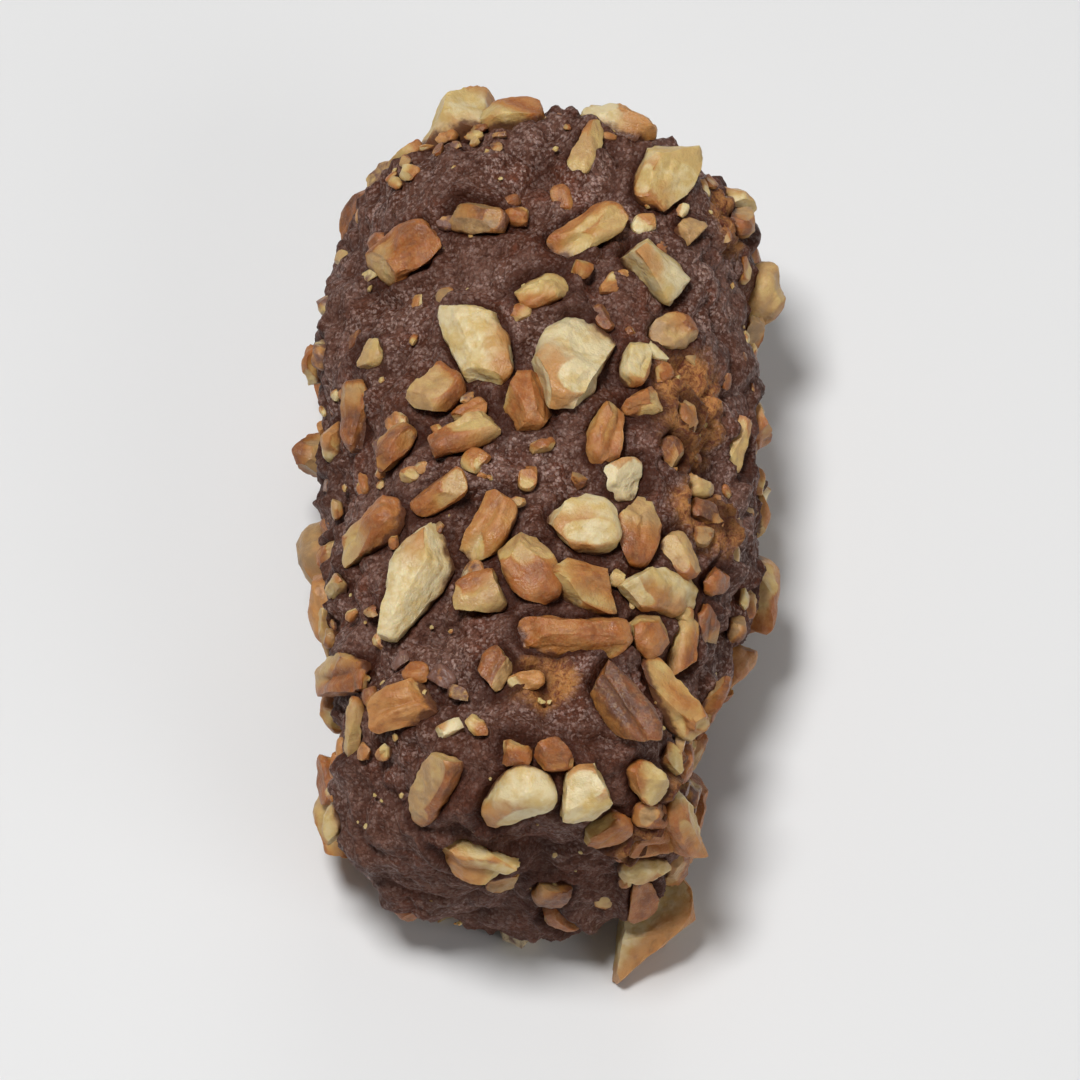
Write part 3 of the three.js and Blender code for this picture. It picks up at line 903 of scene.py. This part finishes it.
def joined_nuts(name, nuts):
    """One mesh of many nuts, in metres."""
    points = []
    corners = []
    fields = {"skin": [], "pale": [], "coat": [], "above": [], "lay": []}
    count = 0
    for nut in nuts:
        nut_points, nut_corners, nut_fields = shape_nut(nut)
        if nut_points[:, 2].max() < SUNK:
            continue
        points.append(nut_points)
        corners.append(nut_corners + count)
        count += len(nut_points)
        for key, values in fields.items():
            values.append(nut_fields[key])
    data = bpy.data.meshes.new(name)
    data.from_pydata(np.concatenate(points) * MM, [], np.concatenate(corners))
    data.shade_smooth()
    data.set_sharp_from_angle(angle=CREASE)
    for key, values in fields.items():
        add_field(data, key, np.concatenate(values))
    return data


def finish_piece(data, material):
    """Shows a mesh as a piece that rides with the roll."""
    data.materials.append(material)
    piece = bpy.data.objects.new(data.name, data)
    bpy.context.scene.collection.objects.link(piece)
    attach(piece, BODY)
    return piece


# Materials


def set_inputs(tree, node, inputs):
    """Sets inputs of a node, given as values or as sockets to link."""
    for key, value in inputs.items():
        if isinstance(value, bpy.types.NodeSocket):
            tree.links.new(value, node.inputs[key])
        else:
            node.inputs[key].default_value = value


def add_node(tree, kind, inputs=None, **settings):
    """A node with its settings and its inputs."""
    node = tree.nodes.new(kind)
    for key, value in settings.items():
        setattr(node, key, value)
    set_inputs(tree, node, inputs or {})
    return node


def opaque(colour):
    """A colour as a shader takes it: a socket stays as it is, and others get full alpha."""
    return colour if isinstance(colour, bpy.types.NodeSocket) else (*colour, 1.0)


def painted(tree, colour, *layers):
    """A colour with layers over it, each given as its mask and its own colour."""
    for mask, layer in layers:
        inputs = {0: mask, 6: opaque(colour), 7: opaque(layer)}
        colour = add_node(tree, "ShaderNodeMix", inputs, data_type="RGBA").outputs[2]
    return colour


def maths(tree, operation, first, second):
    return add_node(tree, "ShaderNodeMath", {0: first, 1: second}, operation=operation).outputs[0]


def vector_maths(tree, operation, inputs):
    return add_node(tree, "ShaderNodeVectorMath", inputs, operation=operation).outputs[0]


def soft_range(tree, value, low, high, to_low=0.0, to_high=1.0):
    inputs = {"Value": value, "From Min": low, "From Max": high, "To Min": to_low, "To Max": to_high}
    return add_node(tree, "ShaderNodeMapRange", inputs, interpolation_type="SMOOTHSTEP").outputs[0]


def noise_value(tree, where, size, detail, roughness=0.55, distortion=0.0):
    """Noise whose features are about this size in metres."""
    inputs = {"Vector": where, "Scale": 1 / size, "Detail": detail}
    inputs.update({"Roughness": roughness, "Distortion": distortion})
    return add_node(tree, "ShaderNodeTexNoise", inputs).outputs[0]


def patches(tree, where, size, detail, roughness, distortion, *span):
    """A mask of soft patches that noise makes."""
    return soft_range(tree, noise_value(tree, where, size, detail, roughness, distortion), *span)


def wavering(tree, value, where, size, amount):
    """A value made uneven by noise of this size in metres."""
    waver = maths(tree, "SUBTRACT", noise_value(tree, where, size, 4.0), 0.5)
    return maths(tree, "ADD", value, maths(tree, "MULTIPLY", waver, amount))


def attribute(tree, name, output="Fac"):
    return add_node(tree, "ShaderNodeAttribute", attribute_name=name).outputs[output]


def group_socket(group, name, in_out, default=None):
    socket = group.interface.new_socket(name=name, in_out=in_out, socket_type="NodeSocketFloat")
    if default is not None:
        socket.default_value = default


def mottle_group():
    """Patchiness that every finish here shares: a broad drift with a finer one over it."""
    group = bpy.data.node_groups.new("Mottle", "ShaderNodeTree")
    group_socket(group, "Broad", "INPUT", 150.0)
    group_socket(group, "Fine", "INPUT", 900.0)
    group_socket(group, "Mask", "OUTPUT")
    inputs = group.nodes.new("NodeGroupInput")
    outputs = group.nodes.new("NodeGroupOutput")
    where = group.nodes.new("ShaderNodeTexCoord").outputs["Object"]
    drifts = []
    for name, detail, share in MOTTLE_LAYERS:
        settings = {"Vector": where, "Scale": inputs.outputs[name], "Detail": detail}
        drift = add_node(group, "ShaderNodeTexNoise", settings)
        drifts.append(maths(group, "MULTIPLY", drift.outputs[0], share))
    both = maths(group, "ADD", *drifts)
    group.links.new(soft_range(group, both, *MOTTLE_EDGE), outputs.inputs["Mask"])
    return group


def grain_group():
    """Granules for bump and speckle: their height, the pale tops of some, which are partly painted
    highlight, and how dark each one is, by painted shade in the gaps between them and at random.
    """
    group = bpy.data.node_groups.new("Grain", "ShaderNodeTree")
    group_socket(group, "Scale", "INPUT", 4000.0)
    for name in ("Speckle", "Dull", "Height"):
        group_socket(group, name, "OUTPUT")
    scale = group.nodes.new("NodeGroupInput").outputs["Scale"]
    outputs = group.nodes.new("NodeGroupOutput")
    where = group.nodes.new("ShaderNodeTexCoord").outputs["Object"]
    bend = add_node(group, "ShaderNodeTexNoise", {"Vector": where, "Scale": scale, "Detail": 2.0})
    shift = vector_maths(group, "SUBTRACT", {0: bend.outputs["Color"], 1: (0.5, 0.5, 0.5)})
    shift = vector_maths(group, "SCALE", {0: shift, "Scale": GRAIN_BEND})
    bent = vector_maths(group, "ADD", {0: where, 1: shift})
    granule = add_node(group, "ShaderNodeTexVoronoi", {"Vector": bent, "Scale": scale})
    away = granule.outputs["Distance"]
    luck = add_node(group, "ShaderNodeSeparateColor", {"Color": granule.outputs["Color"]})
    chosen = soft_range(group, luck.outputs[0], *GRAIN_CHOSEN)
    # Pale tops of some granules, partly painted highlight
    speckle = maths(group, "MULTIPLY", chosen, soft_range(group, away, *GRAIN_TOPS))
    # Painted shade in the gaps between granules, or a darker granule at random
    gap_shade = maths(group, "MAXIMUM", soft_range(group, away, *GRAIN_GAPS), luck.outputs[1])
    wide = maths(group, "MULTIPLY", scale, BROAD_SCALE)
    broad = add_node(group, "ShaderNodeTexNoise", {"Vector": where, "Scale": wide, **BROAD_NOISE})
    fine = maths(group, "MULTIPLY", maths(group, "SUBTRACT", 1.0, away), GRANULE_HEIGHT)
    height = maths(group, "ADD", fine, maths(group, "MULTIPLY", broad.outputs[0], BROAD_HEIGHT))
    for name, value in (("Speckle", speckle), ("Dull", gap_shade), ("Height", height)):
        group.links.new(value, outputs.inputs[name])
    return group


def place_group(tree, name, maker, inputs):
    """A shared node group, placed in a material with values of its own."""
    group = bpy.data.node_groups.get(name) or maker()
    return add_node(tree, "ShaderNodeGroup", inputs, node_tree=group)


def new_material(name):
    material = bpy.data.materials.new(name)
    material.use_nodes = True
    tree = material.node_tree
    tree.nodes.clear()
    surface = tree.nodes.new("ShaderNodeOutputMaterial")
    shader = tree.nodes.new("ShaderNodeBsdfPrincipled")
    tree.links.new(shader.outputs[0], surface.inputs["Surface"])
    return material, tree, shader


def add_bump(tree, shader, height, strength, distance):
    inputs = {"Strength": strength, "Distance": distance, "Height": height}
    tree.links.new(add_node(tree, "ShaderNodeBump", inputs).outputs[0], shader.inputs["Normal"])


def paste_material(colours):
    """Mauve-brown paste: patchy, with a fine pale frost that is partly painted highlight, painted shade in
    crevices, pores and round nuts, darker where calm and with painted shade on its near end, and golden
    torn fibres.
    """
    material, tree, shader = new_material("date paste")
    where = tree.nodes.new("ShaderNodeTexCoord").outputs["Object"]
    mottle = place_group(tree, "Mottle", mottle_group, PASTE_MOTTLE).outputs["Mask"]
    grain = place_group(tree, "Grain", grain_group, PASTE_GRAIN)
    speckle = grain.outputs["Speckle"]
    moist = attribute(tree, "moist")
    # Pale frost on the tops of granules, partly painted highlight
    bloom_highlight = maths(tree, "MULTIPLY", speckle, patches(tree, where, *BLOOM_HIGHLIGHT_PATCHES))
    bloom_highlight = maths(tree, "MULTIPLY", bloom_highlight, soft_range(tree, moist, *BLOOM_HIGHLIGHT_WHEN_MOIST_OR_SHADED))
    fibrous = painted(tree, colours.paste_warm, (patches(tree, where, *TORN_FIBRES), colours.paste_torn))
    base = painted(
        tree,
        colours.paste_deep,
        (mottle, colours.paste_mauve),
        (patches(tree, where, *WARM_PATCHES), colours.paste_warm),
        # Painted shade in the gaps between granules and in small pores
        (soft_range(tree, grain.outputs["Dull"], *GRAIN_GAP_SHADE), colours.paste_shade),
        (patches(tree, where, *SHADED_PORES), colours.paste_shade),
        (bloom_highlight, colours.paste_bloom_highlight),
        # Moister darker paste where calm, and painted shade on the near end
        (maths(tree, "MULTIPLY", moist, MOIST_AND_SHADE_SHARE), colours.paste_deep),
        (maths(tree, "MULTIPLY", attribute(tree, "torn"), TORN_SHARE), fibrous),
        # Painted shade round the nuts and in the creases between lumps and pebbles
        (maths(tree, "MULTIPLY", attribute(tree, "hollow"), PAINTED_SHADE_SHARE), colours.paste_shade),
    )
    glint = maths(tree, "MULTIPLY", speckle, GLINT_SHARE)
    shine = maths(tree, "SUBTRACT", patches(tree, where, *PASTE_SHEEN), glint)
    set_inputs(tree, shader, {"Base Color": base, "Roughness": shine, **PASTE_LIGHT})
    add_bump(tree, shader, grain.outputs["Height"], *PASTE_BUMP)
    return material


def pecan_material(colours):
    """Chopped pecan: cream flesh where it is cut, orange-brown skin elsewhere, and paste at its foot."""
    material, tree, shader = new_material("chopped pecan")
    where = tree.nodes.new("ShaderNodeTexCoord").outputs["Object"]
    mottle = place_group(tree, "Mottle", mottle_group, PECAN_MOTTLE).outputs["Mask"]
    grain = place_group(tree, "Grain", grain_group, PECAN_GRAIN)
    above = attribute(tree, "above")
    patchy = maths(tree, "MULTIPLY", maths(tree, "SUBTRACT", mottle, 0.5), PATCHY_SHARE)
    # Paleness of each nut, which for nuts that lay in shade also holds painted shade, with mottle over it
    shade = maths(tree, "ADD", attribute(tree, "pale"), patchy)
    lay = {"Vector": attribute(tree, "lay", "Vector"), "Scale": STREAK_STRETCH}
    streaks = noise_value(tree, add_node(tree, "ShaderNodeMapping", lay).outputs[0], *STREAKS)
    skin = painted(
        tree,
        ramp(tree, shade, colours, SKIN_STOPS),
        (soft_range(tree, streaks, *STREAKED), colours.skin_dark),
        (maths(tree, "MULTIPLY", grain.outputs["Speckle"], FLECK_SHARE), colours.flesh_tan),
    )
    ragged = wavering(tree, attribute(tree, "skin"), where, *RAGGED_SKIN)
    skinned = soft_range(tree, ragged, *SKINNED)
    warm_foot = soft_range(tree, wavering(tree, above, where, *RAGGED_FOOT), *WARM_FOOT)
    smeared = soft_range(tree, wavering(tree, above, where, *RAGGED_SMEAR), *SMEARED)
    coated = soft_range(tree, wavering(tree, attribute(tree, "coat"), where, *RAGGED_COAT), *COATED)
    base = painted(
        tree,
        ramp(tree, shade, colours, FLESH_STOPS),
        (soft_range(tree, ragged, *UNDER_SKIN), colours.flesh_orange),
        (skinned, skin),
        (warm_foot, colours.flesh_orange),
        (smeared, colours.paste_deep),
        (coated, colours.paste_mauve),
    )
    shine = patches(tree, where, *PECAN_SHEEN)
    set_inputs(tree, shader, {"Base Color": base, "Roughness": shine, **PECAN_LIGHT})
    wrinkles = maths(tree, "MULTIPLY", maths(tree, "MULTIPLY", streaks, skinned), STREAK_HEIGHT)
    add_bump(tree, shader, maths(tree, "ADD", grain.outputs["Height"], wrinkles), *PECAN_BUMP)
    return material


def ramp(tree, shade, colours, stops):
    """Colours by shade, with stops given as their place and the name of the colour."""
    node = add_node(tree, "ShaderNodeValToRGB", {"Fac": shade})
    elements = node.color_ramp.elements
    while len(elements) < len(stops):
        elements.new(0.5)
    for element, (place, name) in zip(elements, stops):
        element.position = place
        element.color = opaque(getattr(colours, name))
    return node.outputs[0]


def shared_material(name, maker):
    return bpy.data.materials.get(name) or maker(bpy.context.scene.date_roll_colours)


# The paste


def torn_spots(log):
    """Middles and sizes of the torn patches, in mm."""
    spots = [(log.shown_spot(across, up), wide, tall) for across, up, wide, tall in TORN_PATCHES]
    for distance, angle, wide, tall in TORN_HIDDEN:
        spots.append((log.spot(distance, angle), wide, tall))
    return spots


def torn_mask(log, points):
    mask = np.zeros(len(points))
    for spot, wide, tall in torn_spots(log):
        offset = points - spot.point
        square = (offset @ spot.across / wide) ** 2 + (offset @ spot.along / tall) ** 2
        square = square + (offset @ spot.out / TORN_DEPTH) ** 2
        mask = np.maximum(mask, 1 - smoothstep(np.sqrt(square), *TORN_EDGE))
    return mask


def noise_field(points, size, octaves, shift=0.0):
    """Fractal noise at each point, with features of about this size in mm."""
    places = (points + shift) / size
    return np.array([noise.fractal(Vector(place), NOISE_FALL, NOISE_STEP, octaves) for place in places])


def pebble_field(points, size, shift, bend, bend_size):
    """Rounded pebbles of about this size in mm, bent by noise, from 0 in the creases to 1."""
    noise.seed_set(BEND_SEED)
    bends = np.array([noise.noise_vector(Vector(place)) for place in points / bend_size])
    places = (points + shift + bend * bends) / size
    nearest = np.array([noise.voronoi(Vector(place))[0][0] for place in places])
    return 1 - np.clip(nearest, 0.0, 1.0) ** 2


def rolled_grid(log):
    """A fine grid rolled into the plain log in mm, and closed along its seam and at its ends."""
    mesh = bmesh.new()
    bmesh.ops.create_grid(mesh, x_segments=PASTE_AROUND, y_segments=PASTE_ALONG, size=1.0)
    for vert in mesh.verts:
        angle = math.pi * vert.co.x
        radius, along = log.profile(log.outline * (vert.co.y + 1) / 2)
        vert.co = (radius * math.sin(angle), along, radius * math.cos(angle))
    bmesh.ops.remove_doubles(mesh, verts=mesh.verts, dist=WELD)
    bmesh.ops.recalc_face_normals(mesh, faces=mesh.faces)
    data = bpy.data.meshes.new("date_paste")
    mesh.to_mesh(data)
    mesh.free()
    return data


def mesh_points(data):
    points = np.empty(len(data.vertices) * 3, dtype=np.float32)
    data.vertices.foreach_get("co", points)
    return points.reshape(-1, 3).astype(float)


def move_points(data, points):
    data.vertices.foreach_set("co", points.astype(np.float32).ravel())
    data.update()


def ways_out(data):
    normals = np.empty(len(data.vertices) * 3, dtype=np.float32)
    data.vertex_normals.foreach_get("vector", normals)
    return normals.reshape(-1, 3).astype(float)


def nearest_nut(points, nuts):
    """How far each point is from the nuts close to it, in mm."""
    nearest = np.full(len(points), NUT_FAR)
    for nut in nuts:
        apart = np.linalg.norm(points - nut.middle, axis=1)
        close = np.nonzero(apart < nut.size[0] / 2 + NUT_NEAR)[0]
        nearest[close] = np.minimum(nearest[close], nut_depth(points[close], nut))
    return nearest


def fading(distance, spread):
    """A share that falls from 1 at no distance, and is slight past this spread."""
    return np.exp(-((distance / spread) ** 2))


def build_paste(log, sizes, nuts):
    """The log of paste as a fine mesh: swollen, kneaded, pitted, torn and pushed up round the nuts."""
    data = rolled_grid(log)
    plain = mesh_points(data)
    angle = np.arctan2(plain[:, 0], plain[:, 2])
    points = log.swollen(np.hypot(plain[:, 0], plain[:, 2]), plain[:, 1], angle)
    move_points(data, points)
    out = ways_out(data)
    torn = torn_mask(log, points)
    ragged = TORN_RAGGED * noise_field(points, *TORN_NOISE) * (torn > TORN_TRACE)
    torn = np.clip(TORN_FULL * torn + ragged, 0.0, 1.0)
    kneaded = noise_field(points, *KNEADED)
    calm = smoothstep(noise_field(points, *CALM), *CALM_EDGE)
    lumps = pebble_field(points, *PASTE_LUMPS)
    pebbles = pebble_field(points, *PASTE_PEBBLES)
    end_share = smoothstep(-plain[:, 1], log.half_length - END_STARTS, log.half_length - END_FULL)
    rough = PEBBLE_SHARE - PEBBLE_CALMED * calm
    smooth = PEBBLE_SMOOTHED * end_share
    nearest = nearest_nut(points, nuts)
    outside = np.maximum(nearest, 0.0)
    held = 1 - smoothstep(nearest, 0.0, HELD_REACH)
    rim = fading(nearest - RIM_AWAY, RIM_SPREAD) * (RIM_EVEN + RIM_KNEADED * kneaded)
    relief = sizes.lump_relief * (KNEADED_SHARE * kneaded + LUMP_SHARE * (lumps - LUMP_LEVEL))
    relief = relief + sizes.pebble_relief * (pebbles - PEBBLE_LEVEL) * rough * (1 - smooth)
    relief = relief + sizes.grain_relief * noise_field(points, *FINE_GRAIN)
    crags = CRAG_SHARE * noise_field(points, *CRAGS) + CRAG_RISE
    relief = relief + sizes.torn_relief * crags * torn
    relief = np.where(relief < 0, relief * (1 - held), relief)
    relief = relief + sizes.rim_relief * rim - GAP_DEPTH * MM * fading(outside, GAP_SPREAD)
    moved = points * MM + out * relief[:, None]
    moved[:, 2] = np.maximum(moved[:, 2], TABLE_GAP * MM)
    move_points(data, moved)
    # Painted shade: darker round the nuts and in the creases between lumps and pebbles
    crease_shade = smoothstep(pebbles, *PEBBLE_CREASE) * (1 - CREASE_SHADE_CALMED * calm)
    crease_shade = crease_shade + smoothstep(lumps, *LUMP_CREASE)
    add_field(data, "hollow", np.clip(fading(outside, SHADOW_SPREAD) + CREASE_SHADE_SHARE * crease_shade, 0, 1))
    add_field(data, "torn", torn)
    # Moister paste where it is calm, and painted shade on the near end
    add_field(data, "moist", np.clip(END_SHADE * end_share + CALM_MOIST * calm, 0.0, 1.0))
    data.shade_smooth()
    return data


def show_pecans(name, nuts):
    """Shows chopped nuts as one piece."""
    finish_piece(joined_nuts(name, nuts), shared_material("chopped pecan", pecan_material))


class DATE_ROLL_OT_paste(bpy.types.Operator):
    """Make the log of date paste"""

    bl_idname = "date_roll.make_paste"
    bl_label = "Date paste"

    def execute(self, context):
        sizes = context.scene.date_roll_sizes
        log = Log(sizes)
        data = build_paste(log, sizes, coat_of_nuts(log, sizes))
        piece = finish_piece(data, shared_material("date paste", paste_material))
        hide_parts(NODE)
        return {"FINISHED"}


class DATE_ROLL_OT_pieces(bpy.types.Operator):
    """Make the large pieces of pecan that the paste was rolled in"""

    bl_idname = "date_roll.make_pieces"
    bl_label = "Large pecan pieces"

    def execute(self, context):
        sizes = context.scene.date_roll_sizes
        nuts = coat_of_nuts(Log(sizes), sizes)
        show_pecans("pecan_pieces", [nut for nut in nuts if nut.size[0] >= LARGE_NUT])
        return {"FINISHED"}


class DATE_ROLL_OT_pecans(bpy.types.Operator):
    """Make the chopped pecans that the paste was rolled in"""

    bl_idname = "date_roll.make_pecans"
    bl_label = "Chopped pecans"

    def execute(self, context):
        sizes = context.scene.date_roll_sizes
        nuts = coat_of_nuts(Log(sizes), sizes)
        show_pecans("chopped_pecans", [nut for nut in nuts if nut.size[0] < LARGE_NUT])
        return {"FINISHED"}


class DATE_ROLL_OT_bits(bpy.types.Operator):
    """Make the small bits of pecan between the larger ones"""

    bl_idname = "date_roll.make_bits"
    bl_label = "Small pecan bits"

    def execute(self, context):
        sizes = context.scene.date_roll_sizes
        log = Log(sizes)
        show_pecans("pecan_bits", small_bits(log, sizes, coat_of_nuts(log, sizes)))
        return {"FINISHED"}


class DATE_ROLL_OT_meal(bpy.types.Operator):
    """Make the grains of pecan meal that cling to the paste"""

    bl_idname = "date_roll.make_meal"
    bl_label = "Pecan meal"

    def execute(self, context):
        sizes = context.scene.date_roll_sizes
        show_pecans("pecan_meal", grains_of_meal(Log(sizes), sizes))
        return {"FINISHED"}


class DATE_ROLL_OT_stage(bpy.types.Operator):
    """Set the pale floor, the soft lights and the camera"""

    bl_idname = "date_roll.set_stage"
    bl_label = "Stage"

    def execute(self, context):
        scene = context.scene
        lay_floor(scene)
        for place, size, power in SOFT_LIGHTS:
            hang_light(scene, place, size, power)
        world = bpy.data.worlds.new("studio")
        world.use_nodes = True
        background = world.node_tree.nodes["Background"]
        background.inputs["Color"].default_value = (1.0, 1.0, 1.0, 1.0)
        background.inputs["Strength"].default_value = WORLD_STRENGTH
        scene.world = world
        scene.view_settings.view_transform = "Standard"
        place_camera(scene)
        return {"FINISHED"}


def lay_floor(scene):
    material, tree, shader = new_material("studio floor")
    shader.inputs["Base Color"].default_value = opaque(scene.date_roll_colours.floor)
    shader.inputs["Roughness"].default_value = 0.7
    mesh = bmesh.new()
    bmesh.ops.create_grid(mesh, x_segments=1, y_segments=1, size=FLOOR_SIZE / 2)
    data = bpy.data.meshes.new("floor")
    mesh.to_mesh(data)
    mesh.free()
    data.materials.append(material)
    floor = bpy.data.objects.new("floor", data)
    scene.collection.objects.link(floor)


def hang_light(scene, place, size, power):
    lamp = bpy.data.lights.new("softbox", "AREA")
    lamp.shape = "DISK"
    lamp.size = size
    lamp.energy = power
    holder = bpy.data.objects.new("softbox", lamp)
    holder.location = place
    holder.rotation_euler = (Vector(LIGHT_TARGET) - Vector(place)).to_track_quat("-Z", "Y").to_euler()
    scene.collection.objects.link(holder)


def place_camera(scene):
    lens = bpy.data.cameras.new("camera")
    lens.sensor_width = SENSOR
    lens.lens = SENSOR * CAMERA_DISTANCE / FRAME_HEIGHT
    lens.clip_start = 0.01
    holder = bpy.data.objects.new("camera", lens)
    target = Vector(CAMERA_TARGET)
    holder.location = target + CAMERA_DISTANCE * Vector((0, -math.cos(VIEW_TILT), math.sin(VIEW_TILT)))
    holder.rotation_euler = (target - holder.location).to_track_quat("-Z", "Y").to_euler()
    scene.collection.objects.link(holder)
    scene.camera = holder


class DATE_ROLL_PT_panel(bpy.types.Panel):
    """The pieces of the roll and what can be changed"""

    bl_idname = "DATE_ROLL_PT_panel"
    bl_label = "Date roll"
    bl_space_type = "VIEW_3D"
    bl_region_type = "UI"
    bl_category = "Date roll"

    def draw(self, context):
        for operator in PIECES:
            self.layout.operator(operator.bl_idname)
        for group in (context.scene.date_roll_sizes, context.scene.date_roll_colours):
            box = self.layout.box()
            for name in group.__annotations__:
                box.prop(group, name)


PIECES = (
    DATE_ROLL_OT_paste,
    DATE_ROLL_OT_pieces,
    DATE_ROLL_OT_pecans,
    DATE_ROLL_OT_bits,
    DATE_ROLL_OT_meal,
    DATE_ROLL_OT_stage,
)
CLASSES = (DateRollSizes, DateRollColours, *PIECES, DATE_ROLL_PT_panel)


def register():
    for entry in CLASSES:
        bpy.utils.register_class(entry)
    bpy.types.Scene.date_roll_sizes = PointerProperty(type=DateRollSizes)
    bpy.types.Scene.date_roll_colours = PointerProperty(type=DateRollColours)


def unregister():
    del bpy.types.Scene.date_roll_colours
    del bpy.types.Scene.date_roll_sizes
    for entry in reversed(CLASSES):
        bpy.utils.unregister_class(entry)


def main():
    register()
    bpy.ops.date_roll.make_paste()
    bpy.ops.date_roll.make_pieces()
    bpy.ops.date_roll.make_pecans()
    bpy.ops.date_roll.make_bits()
    bpy.ops.date_roll.make_meal()
    bpy.ops.date_roll.set_stage()


if __name__ == "__main__":
    main()
